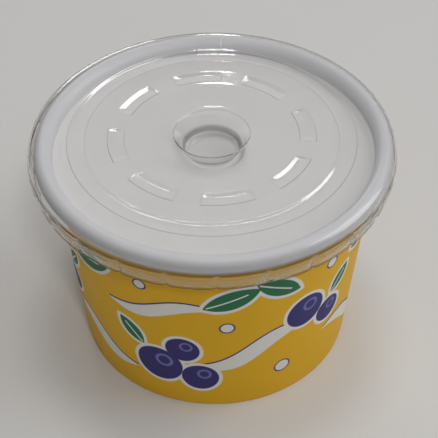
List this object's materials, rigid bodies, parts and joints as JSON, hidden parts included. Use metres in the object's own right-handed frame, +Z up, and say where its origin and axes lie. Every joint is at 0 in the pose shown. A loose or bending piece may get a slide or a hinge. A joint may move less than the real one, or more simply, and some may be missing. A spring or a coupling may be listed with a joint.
{
  "type": "paper yogurt cup",
  "caption": "Tapered printed paper cup filled with set yogurt, with a rolled rim and a clear pressed-on lid that has a raised ring, arc pads and a central dimple.",
  "frame": {"origin": "middle of the cup's foot, on the surface it stands on", "axes": "+Z up along the cup's axis; the picture looks along +Y and down, with +X to its right"},
  "size_m": [0.0927, 0.0926, 0.0628],
  "materials": {
    "printed_board": "coated board, printed yellow outside, white inside",
    "white_board": "plain coated white board",
    "set_yogurt": "smooth wet white",
    "clear_film": "thin clear formed film, glossy"
  },
  "bodies": {
    "root": {"cup_wall": "printed_board", "cup_bottom": "white_board", "yogurt": "set_yogurt", "lid": "clear_film"}
  },
  "joints": []
}
